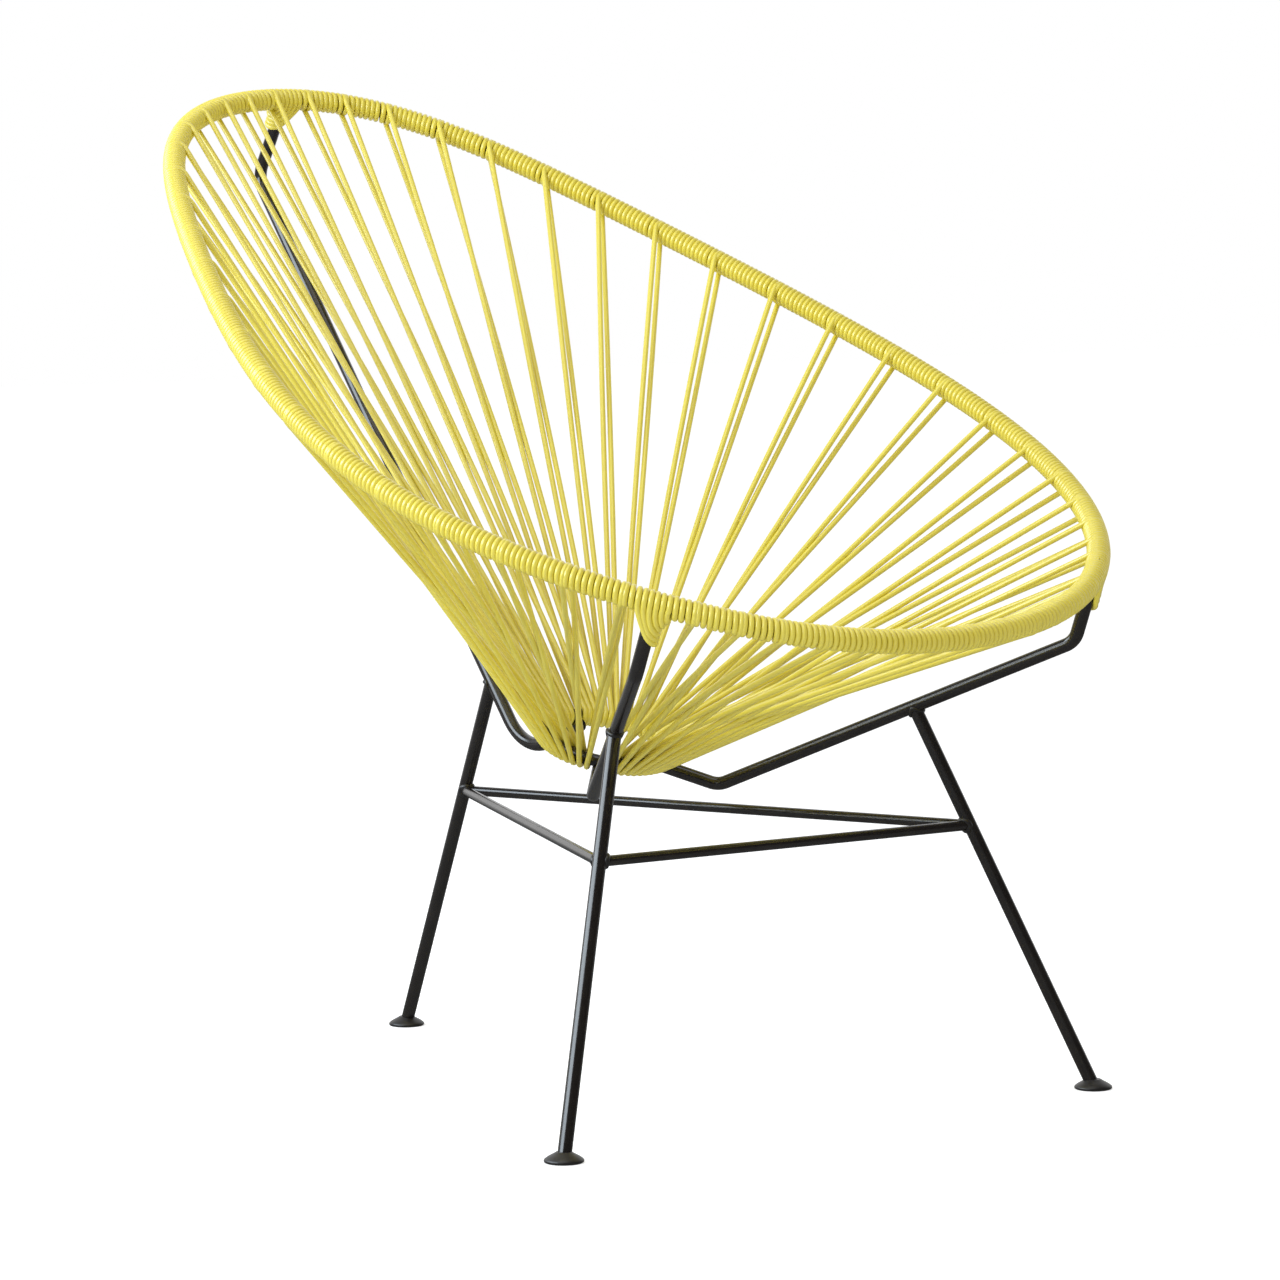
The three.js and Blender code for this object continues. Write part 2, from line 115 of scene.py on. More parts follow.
# Weld beads; ripples are how far a bead's thickness swells, as a share, and how often on its way round
WELD_SIDES = 10
WELD_DIAMETER = 4.0 * MM
LEG_WELD_THICKNESS = 1.15
LEG_WELD_RIPPLES = (0.10, 9)
STRETCHER_WELD_DIAMETER = 5.2 * MM
STRETCHER_WELD_RIPPLES = (0.10, 8)
SEAM_POINTS = 40
RING_WELD_RADIUS = 4.5 * MM
RING_WELD_STRETCH = 0.2
RING_WELD_RIPPLES = (0.08, 6)
RING_WELD_POINTS = 24
RIPPLE_UNEVENNESS = 0.6

# Strung pairs of cord: how far along the hoop each side's pairs stand, and where they loop round the ring
RIGHT_PAIRS = dict(count=20, first=25.1 * MM, last=1160 * MM, peak=0.52, droop=2.3)
LEFT_NEAR_BACK = (13.7 * MM, 47.8 * MM, 84.5 * MM, 121 * MM, 164 * MM)
LEFT_PAIRS = dict(count=15, first=214 * MM, last=1166 * MM, peak=0.48, droop=1.29)
RIGHT_RING_FIRST = math.radians(8.3)
RIGHT_RING_STEP = math.radians(5.2)
RIGHT_RING_GROWTH = math.radians(0.04)
LEFT_RING_FIRST = math.radians(8.5)
LEFT_RING_LAST = math.radians(127.5)
FRONT_PAIRS = 13
FIRST_FRONT_PAIR = 34 * MM
RING_GAP_IN_FRONT = math.radians(8)
RING_UNEVENNESS = math.radians(0.15)

# A pair's two strands: half their distance apart at the hoop and at the ring, and the room they need to pass
HALF_GAP_AT_HOOP = 0.43 * MM
HALF_GAP_AT_RING = 1.23 * MM
PASSING_ROOM = 1.01

# How finely the cord is drawn
CORD_SIDES = 12
POINTS_PER_TURN = 20
LOOP_POINTS = 11
STRAND_POINTS = 9
BLEND_POINTS = 5
SLING_POINTS = 16
SHORTEST_STEP = 0.02 * MM

# The winding round the hoop, and how its turns lean into the gap where a pair leaves
TIGHTEST_PITCH = 4.95 * MM
LOOSEST_PITCH = 5.2 * MM
FEWEST_TURNS = 0.1
WOUND_FULLNESS = 1.04
WRAP_UNEVENNESS = 0.06 * MM
SPARE_KNOTS = 3
GAP_CLOSING = 1.0 * MM
LEAN_MIDDLE = 1.5 * math.pi
LEAN_REACH = 0.9 * math.pi

# A strand's start: how far it lifts off the hoop, more where it slants, and its bend from winding to strand
STRAND_LIFT = 1.8 * MM
LIFT_SLOPE = 3.0 * MM
LEAST_ACROSS = 0.2
BLEND_LENGTH = 9 * MM
BLEND_TURN = math.radians(24)
PHASE_STEP = 0.05

# The slings of cord round the top of each strut: how many, where they start, how far down they reach
SLINGS = {"back": (5, -7 * MM), "right": (6, -14 * MM), "left": (6, -14 * MM)}
SLING_LEAD = CORD_PITCH / 4
SLING_FIRST_DEPTH = 13 * MM
SLING_DEPTH_STEP = 4.2 * MM
SLING_TURN_REACH = 0.5
SLING_DROP_REACH = 0.55
SLING_FULLNESS = 1.05
SLING_FIRST_CLEAR = 4.2 * MM
SLING_CLEAR_STEP = 2.1 * MM

# Finishes: two shades and their places on the ramp, roughness, and each texture's scale, depth and strength
CORD_SHADES = ((0.785, 0.645, 0.046), (0.825, 0.692, 0.062))
CORD_SHADE_PLACES = (0.3, 0.7)
CORD_ROUGHNESS = (0.30, 0.40)
CORD_COAT_ROUGHNESS = 0.36
CORD_PATCH_SCALE = 9.0
CORD_LINE_SCALE = 2.2
CORD_LINES_ALONG = 14.0
CORD_LINE_DEPTH = 0.2 * MM
CORD_LINE_STRENGTH = 0.035
CORD_GRAIN_SCALE = 900.0
CORD_GRAIN_DEPTH = 0.05 * MM
CORD_GRAIN_STRENGTH = 0.03
BLACK_SHADES = ((0.0088, 0.0066, 0.0052), (0.0135, 0.0104, 0.0084))
BLACK_SHADE_PLACES = (0.35, 0.75)
SHINIER = 0.05
DULLER = 0.07
PEEL_SCALE = 1500.0
PEEL_DEPTH = 0.1 * MM
BLACK_PATCH_SCALE = 45.0

# How far the cord's middle stands from the middle of the hoop, of the ring and of a strut
WIND_RADIUS = HOOP_DIAMETER / 2 + CORD_DIAMETER / 2
LOOP_RADIUS = RING_DIAMETER / 2 + TAUT_THICKNESS * CORD_DIAMETER / 2
SLUNG_RADIUS = STRUT_DIAMETER / 2 + CORD_DIAMETER / 2

rng = np.random.default_rng(11)


# Curves of the frame

def unit(v):
    return v / np.linalg.norm(v, axis=-1, keepdims=True)


def facing(v, toward):
    """A direction or its opposite, whichever has another direction in front of it."""
    return -v if np.dot(v, toward) < 0 else v


def hoop_at_turn(turn):
    """The hoop's egg-shaped, twice curved line as a sum of waves."""
    turn = np.asarray(turn, float)
    x = HOOP_HALF_WIDTH * sum(s * np.sin(n * turn) for n, s in enumerate(HOOP_ACROSS, 1))
    y = HOOP_HALF_DEPTH * sum(s * np.cos(n * turn) for n, s in enumerate(HOOP_ALONG, 1))
    z = HOOP_HALF_RISE * sum(s * np.cos(n * turn) for n, s in enumerate(HOOP_HEIGHT, 1))
    return np.stack([x, y + HOOP_CENTRE_Y, z + HOOP_CENTRE_Z], -1)


TURNS = np.linspace(0, FULL_TURN, HOOP_SAMPLES + 1)
STEPS = np.linalg.norm(np.diff(hoop_at_turn(TURNS), axis=0), axis=1)
DISTANCES = np.concatenate([[0], np.cumsum(STEPS)])
HOOP_LENGTH = DISTANCES[-1]
HOOP_NORMAL = unit(np.array([0, -HOOP_HALF_RISE, HOOP_HALF_DEPTH]))


def hoop_frame(distance):
    """Point, direction, outward side and upper side of the hoop at a distance from the middle of the back."""
    turn = np.interp(np.mod(distance, HOOP_LENGTH), DISTANCES, TURNS)
    point = hoop_at_turn(turn)
    along = unit(hoop_at_turn(turn + HOOP_TURN_STEP) - hoop_at_turn(turn - HOOP_TURN_STEP))
    side = unit(np.cross(HOOP_NORMAL, along))
    return point, along, side, np.cross(along, side)


def round_hoop(distance, phase, radius):
    """Points at a radius from the hoop's centre line, phase 0 on its outer side and a quarter turn on top."""
    point, _, side, over = hoop_frame(distance)
    phase = np.asarray(phase)[..., None]
    return point + np.asarray(radius)[..., None] * (np.cos(phase) * side + np.sin(phase) * over)


def phase_of(direction, distance):
    """The phase round the hoop at which a direction leaves it."""
    _, _, side, over = hoop_frame(distance)
    return math.atan2(np.dot(direction, over), np.dot(direction, side))


def ring_frame(angle):
    """A point of the ring and its direction there; angle 0 is the middle of its back."""
    run = RING_RADIUS * math.cos(angle)
    point = np.array([RING_RADIUS * math.sin(angle), RING_CENTRE_Y + run * math.cos(RING_TILT),
                      RING_CENTRE_Z + run * math.sin(RING_TILT)])
    turn = -math.sin(angle)
    along = np.array([math.cos(angle), turn * math.cos(RING_TILT), turn * math.sin(RING_TILT)])
    return point, unit(along)


def on_side(point, side):
    return np.array([side * point[0], point[1], point[2]])


def foot_centre(side):
    x, y = BACK_FOOT if side == 0 else (side * FRONT_FOOT[0], FRONT_FOOT[1])
    return np.array([x, y, FOOT_EDGE])


def leg_top(side):
    return np.array(BACK_LEG_TOP) if side == 0 else on_side(FRONT_LEG_TOP, side)


def leg_at_height(side, height):
    low, high = foot_centre(side), leg_top(side)
    return low + (high - low) * (height - low[2]) / (high[2] - low[2])


def ring_seat(angle, low_bend):
    """The middle of the strut where it lies under the ring, and the direction down to it from the ring."""
    point, along = ring_frame(angle)
    depth = STRUT_DIAMETER / 2 + RING_DIAMETER / 2
    seat = point - depth * UP
    for _ in range(RING_SEAT_ROUNDS):
        down = facing(unit(np.cross(unit(seat - low_bend), along)), -UP)
        seat = point + depth * down
    return seat, down


def strut_corners(side):
    """A strut's end under the ring, its low and high bends and its top on the hoop."""
    if side == 0:
        low, high = np.array(BACK_LOW_BEND), np.array(BACK_HIGH_BEND)
    else:
        low, high = on_side(FRONT_LOW_BEND, side), on_side(FRONT_HIGH_BEND, side)
    seat, _ = ring_seat(side * STRUT_RING_ANGLE, low)
    top = hoop_frame(side * STRUT_HOOP_LENGTH)[0]
    return [seat + STRUT_OVERRUN * unit(seat - low), low, high, top]


def bent_path(corners, low_radius):
    """Straight between the corners, with a round bend at the low and at the high one."""
    points = [corners[0]]
    for before, corner, after, radius in zip(corners, corners[1:], corners[2:], (low_radius, BEND_RADIUS)):
        into, out = unit(corner - before), unit(after - corner)
        turn = math.acos(float(np.dot(into, out)))
        inward = unit(out - into)
        along = unit(into + out)
        centre = corner + inward * radius / math.cos(turn / 2)
        for k in range(BEND_STEPS + 1):
            angle = turn * (k / BEND_STEPS - 0.5)
            points.append(centre + radius * (math.sin(angle) * along - math.cos(angle) * inward))
    points.append(corners[-1])
    return np.array(points)


# The places above are measured from near the seat's middle, and the chair itself stands further forward.
foot_low, foot_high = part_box("foot_back")
FORWARD = np.array([0, (foot_low[1] + foot_high[1]) / 2 - BACK_FOOT[1], 0])


# Nodes that several finishes share

def new_material(name):
    material = bpy.data.materials.new(name)
    material.use_nodes = True
    nodes = material.node_tree.nodes
    return material, nodes, material.node_tree.links, nodes["Principled BSDF"]


def add(nodes, kind, **values):
    """A node with its properties and unlinked inputs set."""
    node = nodes.new(kind)
    for key, value in values.items():
        if hasattr(node, key):
            setattr(node, key, value)
        else:
            node.inputs[key.replace("_", " ")].default_value = value
    return node


def noise(nodes, links, place, **values):
    texture = add(nodes, "ShaderNodeTexNoise", **values)
    links.new(place, texture.inputs["Vector"])
    return texture.outputs["Fac"]


def times(nodes, links, value, factor):
    product = add(nodes, "ShaderNodeMath", operation="MULTIPLY")
    product.inputs[1].default_value = factor
    links.new(value, product.inputs[0])
    return product.outputs[0]


def of_two(nodes, links, operation, one, other):
    result = add(nodes, "ShaderNodeMath", operation=operation)
    links.new(one, result.inputs[0])
    links.new(other, result.inputs[1])
    return result.outputs[0]


def between(nodes, links, share, low, high):
    """A value that goes from low to high while a share goes from nought to one."""
    value = add(nodes, "ShaderNodeMapRange", To_Min=low, To_Max=high)
    links.new(share, value.inputs["Value"])
    return value.outputs[0]


def two_shades(nodes, links, share, shades, places):
    tone = add(nodes, "ShaderNodeValToRGB")
    for stop, shade, place in zip(tone.color_ramp.elements, shades, places):
        stop.position = place
        stop.color = (*shade, 1)
    links.new(share, tone.inputs["Fac"])
    return tone.outputs["Color"]


def bump(nodes, links, height, strength, depth):
    skin = add(nodes, "ShaderNodeBump", Strength=strength, Distance=depth)
    links.new(height, skin.inputs["Height"])
    return skin


# Finishes

def cord_skin(nodes, links):
    """Coordinates on the cord's skin in which a pattern is drawn out into lines along the cord."""
    around = add(nodes, "ShaderNodeAttribute", attribute_name="around")
    along = add(nodes, "ShaderNodeAttribute", attribute_name="along")
    split = add(nodes, "ShaderNodeSeparateXYZ")
    links.new(around.outputs["Vector"], split.inputs[0])
    skin = add(nodes, "ShaderNodeCombineXYZ")
    links.new(split.outputs["X"], skin.inputs["X"])
    links.new(split.outputs["Y"], skin.inputs["Y"])
    links.new(times(nodes, links, along.outputs["Fac"], CORD_LINES_ALONG), skin.inputs["Z"])
    return skin.outputs[0]


def cord_material():
    """Glossy cord: two near shades in patches, fine lines drawn along it, and a faint grain."""
    material, nodes, links, shader = new_material("glossy_yellow_cord")
    place = add(nodes, "ShaderNodeTexCoord").outputs["Object"]
    patches = noise(nodes, links, place, Scale=CORD_PATCH_SCALE, Detail=3.0)
    lines = noise(nodes, links, cord_skin(nodes, links), Scale=CORD_LINE_SCALE, Detail=3.0, Roughness=0.5)
    grain = noise(nodes, links, place, Scale=CORD_GRAIN_SCALE, Detail=2.0)
    colour = two_shades(nodes, links, patches, CORD_SHADES, CORD_SHADE_PLACES)
    links.new(colour, shader.inputs["Base Color"])
    links.new(between(nodes, links, lines, *CORD_ROUGHNESS), shader.inputs["Roughness"])
    coarse = bump(nodes, links, lines, CORD_LINE_STRENGTH, CORD_LINE_DEPTH)
    fine = bump(nodes, links, grain, CORD_GRAIN_STRENGTH, CORD_GRAIN_DEPTH)
    links.new(coarse.outputs[0], fine.inputs["Normal"])
    links.new(fine.outputs[0], shader.inputs["Normal"])
    shader.inputs["Specular IOR Level"].default_value = 1.0
    shader.inputs["Coat Weight"].default_value = 1.0
    shader.inputs["Coat Roughness"].default_value = CORD_COAT_ROUGHNESS
    return material


def powder_coat(name, roughness, speckle):
    """Black powder coat: a fine orange-peel skin with duller and shinier patches."""
    material, nodes, links, shader = new_material(name)
    place = add(nodes, "ShaderNodeTexCoord").outputs["Object"]
    peel = noise(nodes, links, place, Scale=PEEL_SCALE, Detail=2.0, Roughness=0.6)
    patches = noise(nodes, links, place, Scale=BLACK_PATCH_SCALE, Detail=4.0)
    colour = two_shades(nodes, links, patches, BLACK_SHADES, BLACK_SHADE_PLACES)
    links.new(colour, shader.inputs["Base Color"])
    rough = between(nodes, links, patches, roughness - SHINIER, roughness + DULLER)
    links.new(rough, shader.inputs["Roughness"])
    shader.inputs["Specular IOR Level"].default_value = 1.0
    links.new(bump(nodes, links, peel, speckle, PEEL_DEPTH).outputs[0], shader.inputs["Normal"])
    return material


CORD = cord_material()
BLACK = powder_coat("black_powder_coat", roughness=0.2, speckle=0.06)
WELD = powder_coat("black_coated_weld", roughness=0.38, speckle=0.25)
GLIDE = powder_coat("black_glide", roughness=0.42, speckle=0.3)


# Round lengths swept along a path

def sweep_tree():
    """Geometry nodes that turn a chain of edges into a round length with its ends closed."""
    tree = bpy.data.node_groups.new("round_length", "GeometryNodeTree")
    for name, kind in (("Path", "Geometry"), ("Diameter", "Float"), ("Sides", "Int"), ("Finish", "Material")):
        tree.interface.new_socket(name, in_out="INPUT", socket_type="NodeSocket" + kind)
    tree.interface.new_socket("Geometry", in_out="OUTPUT", socket_type="NodeSocketGeometry")
    nodes, links = tree.nodes, tree.links
    given = add(nodes, "NodeGroupInput")
    chain = add(nodes, "GeometryNodeMeshToCurve")
    thickness = add(nodes, "GeometryNodeInputNamedAttribute", data_type="FLOAT", Name="thickness")
    radius = add(nodes, "GeometryNodeSetCurveRadius")
    spline = add(nodes, "GeometryNodeSplineParameter")
    along = add(nodes, "GeometryNodeStoreNamedAttribute", data_type="FLOAT", Name="along")
    circle = add(nodes, "GeometryNodeCurvePrimitiveCircle")
    place = add(nodes, "GeometryNodeInputPosition")
    turn = add(nodes, "ShaderNodeVectorMath", operation="NORMALIZE")
    around = add(nodes, "GeometryNodeStoreNamedAttribute", data_type="FLOAT_VECTOR", Name="around")
    sweep = add(nodes, "GeometryNodeCurveToMesh", Fill_Caps=True)
    smooth = add(nodes, "GeometryNodeSetShadeSmooth")
    realize = add(nodes, "GeometryNodeRealizeInstances")
    finish = add(nodes, "GeometryNodeSetMaterial")
    done = add(nodes, "NodeGroupOutput")
    # The path, with its thickness and the distance along it
    links.new(given.outputs["Path"], chain.inputs["Mesh"])
    links.new(chain.outputs["Curve"], radius.inputs["Curve"])
    links.new(thickness.outputs["Attribute"], radius.inputs["Radius"])
    links.new(radius.outputs["Curve"], along.inputs["Geometry"])
    links.new(spline.outputs["Length"], along.inputs["Value"])
    # The round section, with the direction to each place on it
    links.new(times(nodes, links, given.outputs["Diameter"], 0.5), circle.inputs["Radius"])
    links.new(given.outputs["Sides"], circle.inputs["Resolution"])
    links.new(circle.outputs["Curve"], around.inputs["Geometry"])
    links.new(place.outputs["Position"], turn.inputs[0])
    links.new(turn.outputs["Vector"], around.inputs["Value"])
    # The finished length
    links.new(along.outputs["Geometry"], sweep.inputs["Curve"])
    links.new(around.outputs["Geometry"], sweep.inputs["Profile Curve"])
    links.new(sweep.outputs["Mesh"], smooth.inputs["Geometry"])
    links.new(smooth.outputs["Geometry"], realize.inputs["Geometry"])
    links.new(realize.outputs["Geometry"], finish.inputs["Geometry"])
    links.new(given.outputs["Finish"], finish.inputs["Material"])
    links.new(finish.outputs["Geometry"], done.inputs["Geometry"])
    return tree


ROUND_LENGTH = sweep_tree()


def set_inputs(modifier, values):
    for item in modifier.node_group.interface.items_tree:
        if item.in_out == "INPUT" and item.name in values:
            modifier[item.identifier] = values[item.name]


def new_object(name, data):
    made = bpy.data.objects.new(name, data)
    bpy.context.scene.collection.objects.link(made)
    return made


def as_plain_mesh(name, path, tree, values):
    """Runs a tree on a chain of edges and returns its result as an object with a plain mesh."""
    maker = new_object(name + "_path", path)
    modifier = maker.modifiers.new("make", "NODES")
    modifier.node_group = tree
    set_inputs(modifier, values)
    evaluated = maker.evaluated_get(bpy.context.evaluated_depsgraph_get())
    mesh = bpy.data.meshes.new_from_object(evaluated)
    bpy.data.objects.remove(maker)
    mesh.name = name
    return new_object(name, mesh)


def chain_mesh(name, lines):
    """A mesh of edges: one chain for each line, given as points, thickness and whether it closes."""
    points, edges, thickness = [], [], []
    for line, thick, closed in lines:
        start = len(points)
        count = len(line)
        points.extend(map(tuple, line + FORWARD))
        thickness.extend(np.broadcast_to(thick, count))
        edges.extend((start + i, start + i + 1) for i in range(count - 1))
        if closed:
            edges.append((start + count - 1, start))
    mesh = bpy.data.meshes.new(name + "_path")
    mesh.from_pydata(points, edges, [])
    held = mesh.attributes.new("thickness", "FLOAT", "POINT")
    held.data.foreach_set("value", np.array(thickness, np.float32))
    return mesh


def swept(name, lines, diameter, sides, material):
    """One piece with a round length along each line."""
    values = {"Diameter": diameter, "Sides": sides, "Finish": material}
    return as_plain_mesh(name, chain_mesh(name, lines), ROUND_LENGTH, values)


def finish_piece(piece, slot, *replaced):
    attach(piece, "root")
    if replaced:
        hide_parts(*replaced)


# Frame rods

def closed_rod(name, points, diameter):
    return swept(name, [(np.array(points), 1.0, True)], diameter, ROD_SIDES, BLACK)


def rod(name, points, diameter):
    """A rod with its end edges a little rounded."""
    points = np.array(points)
    soft = ROD_END_SHARE * diameter
    first, last = unit(points[1] - points[0]), unit(points[-2] - points[-1])
    head = [points[0] + share * soft * first for share in ROD_END_PLACES]
    tail = [points[-1] + share * soft * last for share in reversed(ROD_END_PLACES)]
    line = np.array(head + list(points[1:-1]) + tail)
    thick = np.ones(len(line))
    end_girth, next_girth = ROD_END_GIRTHS
    thick[[0, -1]] = end_girth
    thick[[1, -2]] = next_girth
    return swept(name, [(line, thick, False)], diameter, ROD_SIDES, BLACK)


def rod_pieces():
    distances = np.linspace(0, HOOP_LENGTH, HOOP_POINTS, endpoint=False)
    hoop = closed_rod("hoop_rod", hoop_frame(distances)[0], HOOP_DIAMETER)
    finish_piece(hoop, "frame", "rim_hoop")
    angles = np.linspace(0, FULL_TURN, RING_POINTS, endpoint=False)
    ring = closed_rod("ring_rod", [ring_frame(a)[0] for a in angles], RING_DIAMETER)
    finish_piece(ring, "frame", "seat_ring")
    for name, side in SIDES.items():
        low_radius = BACK_LOW_BEND_RADIUS if side == 0 else BEND_RADIUS
        strut = rod("strut_rod_" + name, bent_path(strut_corners(side), low_radius), STRUT_DIAMETER)
        finish_piece(strut, "frame", "strut_" + name)
        leg = rod("leg_rod_" + name, [foot_centre(side), leg_top(side)], LEG_DIAMETER)
        finish_piece(leg, "frame", "leg_" + name)
    for start, end in STRETCHERS:
        ends = [leg_at_height(SIDES[n], STRETCHER_HEIGHT) for n in (start, end)]
        bar = rod(f"stretcher_rod_{start}_{end}", ends, STRETCHER_DIAMETER)
        finish_piece(bar, "frame", f"stretcher_{start}_{end}")


# Weld beads

def seam(start, toward, radius, other, other_dir, other_radius):
    """The closed line where a rod that runs from start meets the skin of another rod."""
    run = unit(toward - start)
    across = unit(np.cross(run, other_dir))
    third = np.cross(run, across)
    line = []
    for angle in np.linspace(0, FULL_TURN, SEAM_POINTS, endpoint=False):
        base = start + radius * (math.cos(angle) * across + math.sin(angle) * third)
        gap = base - other
        flat_gap = gap - np.dot(gap, other_dir) * other_dir
        flat_run = run - np.dot(run, other_dir) * other_dir
        a = np.dot(flat_run, flat_run)
        b = 2 * np.dot(flat_gap, flat_run)
        c = np.dot(flat_gap, flat_gap) - other_radius ** 2
        room = max(b * b - 4 * a * c, 0)
        line.append(base + run * (-b - math.sqrt(room)) / (2 * a))
    return np.array(line)


def ripple(line, amount, waves):
    """Thickness along a weld bead: even ripples, a little irregular."""
    turn = np.linspace(0, FULL_TURN, len(line), endpoint=False)
    return 1 + amount * np.cos(waves * turn) + amount * RIPPLE_UNEVENNESS * rng.standard_normal(len(line))


def leg_seam(side):
    """The line where a leg meets the underside of its strut."""
    _, low, high, _ = strut_corners(side)
    foot, top = foot_centre(side), leg_top(side)
    return seam(foot, top, LEG_DIAMETER / 2, top, unit(high - low), STRUT_DIAMETER / 2)


def ring_seam(side):
    """An oval round the place where a strut's end touches the ring, longer along the strut."""
    low = strut_corners(side)[1]
    angle = side * STRUT_RING_ANGLE
    seat, down = ring_seat(angle, low)
    contact = seat - down * STRUT_DIAMETER / 2
    run, cross = unit(seat - low), ring_frame(angle)[1]
    turn = np.linspace(0, FULL_TURN, RING_WELD_POINTS, endpoint=False)[:, None]
    stretch = 1 + RING_WELD_STRETCH * np.cos(2 * turn)
    return contact + RING_WELD_RADIUS * (np.cos(turn) * run + np.sin(turn) * cross) * stretch


def stretcher_seam(here, there):
    """The line where the stretcher between two legs meets the one that is here."""
    at, other = (leg_at_height(SIDES[n], STRETCHER_HEIGHT) for n in (here, there))
    leg_dir = unit(leg_top(SIDES[here]) - foot_centre(SIDES[here]))
    return seam(other, at, STRETCHER_DIAMETER / 2, at, leg_dir, LEG_DIAMETER / 2)


def weld_pieces():
    for name, side in SIDES.items():
        leg_line = leg_seam(side)
        lines = [(leg_line, ripple(leg_line, *LEG_WELD_RIPPLES) * LEG_WELD_THICKNESS, True)]
        ring_line = ring_seam(side)
        lines.append((ring_line, ripple(ring_line, *RING_WELD_RIPPLES), True))
        weld = swept("weld_" + name, lines, WELD_DIAMETER, WELD_SIDES, WELD)
        finish_piece(weld, "frame")
    lines = []
    for start, end in STRETCHERS:
        for here, there in ((start, end), (end, start)):
            line = stretcher_seam(here, there)
            lines.append((line, ripple(line, *STRETCHER_WELD_RIPPLES), True))
    weld = swept("weld_stretchers", lines, STRETCHER_WELD_DIAMETER, WELD_SIDES, WELD)
    finish_piece(weld, "frame")


# Feet

def foot_mesh(name, centre):
    """A round glide turned from its profile, flat underneath and closed on top."""
    points, faces = [], []
    for share, height in FOOT_PROFILE:
        radius = FOOT_RADIUS * share
        for i in range(FOOT_SEGMENTS):
            turn = FULL_TURN * i / FOOT_SEGMENTS
            points.append((centre[0] + radius * math.cos(turn), centre[1] + radius * math.sin(turn),
                           FOOT_HEIGHT * height))
    rows = len(FOOT_PROFILE)
    for row in range(rows - 1):
        here, above = row * FOOT_SEGMENTS, (row + 1) * FOOT_SEGMENTS
        for i in range(FOOT_SEGMENTS):
            k = (i + 1) % FOOT_SEGMENTS
            faces.append((here + i, here + k, above + k, above + i))
    faces.append(tuple(reversed(range(FOOT_SEGMENTS))))
    faces.append(tuple(range((rows - 1) * FOOT_SEGMENTS, rows * FOOT_SEGMENTS)))
    mesh = bpy.data.meshes.new(name)
    mesh.from_pydata(points, [], faces)
    mesh.shade_smooth()
    mesh.materials.append(GLIDE)
    # The edge of the flat underside is the only sharp one.
    for edge in mesh.edges:
        low, high = (points[v][2] for v in edge.vertices)
        edge.use_edge_sharp = low == high == 0
    return mesh


def foot_pieces():
    for name, side in SIDES.items():
        mesh = foot_mesh("glide_" + name, foot_centre(side) + FORWARD)
        foot = new_object("glide_" + name, mesh)
        finish_piece(foot, "foot", "foot_" + name)


# Places of the seat's strung pairs

def spaced(count, first, last, peak, droop):
    """Places along the hoop whose spacing is widest at the peak share and droops away from it."""
    shares = np.arange(1, count) / (count - 1)
    steps = 1 - droop * (shares - peak) ** 2
    gone = np.concatenate([[0], np.cumsum(steps)]) / steps.sum()
    return first + (last - first) * gone


def pair_places():
    """Every pair's distance along the hoop and angle round the ring, in order from the middle of the back."""
    right_at = spaced(**RIGHT_PAIRS)
    n = np.arange(len(right_at))
    right_angles = RIGHT_RING_FIRST + RIGHT_RING_STEP * n + RIGHT_RING_GROWTH * n * n
    left_at = np.concatenate([LEFT_NEAR_BACK, spaced(**LEFT_PAIRS)])[::-1]
    left_angles = np.linspace(LEFT_RING_LAST, LEFT_RING_FIRST, len(left_at))
    front_from = STRUT_HOOP_LENGTH + FIRST_FRONT_PAIR
    front_at = np.linspace(front_from, HOOP_LENGTH - front_from, FRONT_PAIRS)
    angle_from = STRUT_RING_ANGLE + RING_GAP_IN_FRONT
    front_angles = np.linspace(angle_from, FULL_TURN - angle_from, FRONT_PAIRS)
    return {
        "right": list(zip(right_at, right_angles)),
        "front": list(zip(front_at, front_angles)),
        "left": list(zip(HOOP_LENGTH - left_at, FULL_TURN - left_angles)),
    }


# Stretches of the cord's path

def cubic(t, a, b, c, d):
    return (1 - t) ** 3 * a + 3 * (1 - t) ** 2 * t * b + 3 * (1 - t) * t * t * c + t ** 3 * d


def smooth_turn(start, start_dir, end, end_dir):
    """Points on a smooth curve between two places, leaving out both ends."""
    reach = np.linalg.norm(end - start) / 3
    t = np.linspace(0, 1, BLEND_POINTS + 2)[1:-1, None]
    return cubic(t, start, start + reach * start_dir, end - reach * end_dir, end)


def strand(start, end, bow):
    """A taut strand between two places, without its bends at both."""
    left_out = BLEND_LENGTH / np.linalg.norm(end - start)
    share = np.linspace(left_out, 1 - left_out, STRAND_POINTS)[:, None]
    return start + (end - start) * share + np.sin(math.pi * share) * bow


def ring_loop(ring_point, ring_along, inward, above):
    """Half a turn round the ring, from under it to its upper side."""
    turns = np.linspace(0, math.pi, LOOP_POINTS)[:, None]
    shift = HALF_GAP_AT_RING * (2 * turns / math.pi - 1)
    return ring_point + shift * ring_along + LOOP_RADIUS * (np.sin(turns) * inward - np.cos(turns) * above)


def passing_bow(along, ring_along, aside):
    """How far each of a pair's strands bows to its own side, so that they just touch where they pass."""
    apart = (HALF_GAP_AT_HOOP * np.dot(along, aside) + HALF_GAP_AT_RING * abs(np.dot(ring_along, aside))) / 2
    return PASSING_ROOM * TAUT_THICKNESS * CORD_DIAMETER / 2 - apart


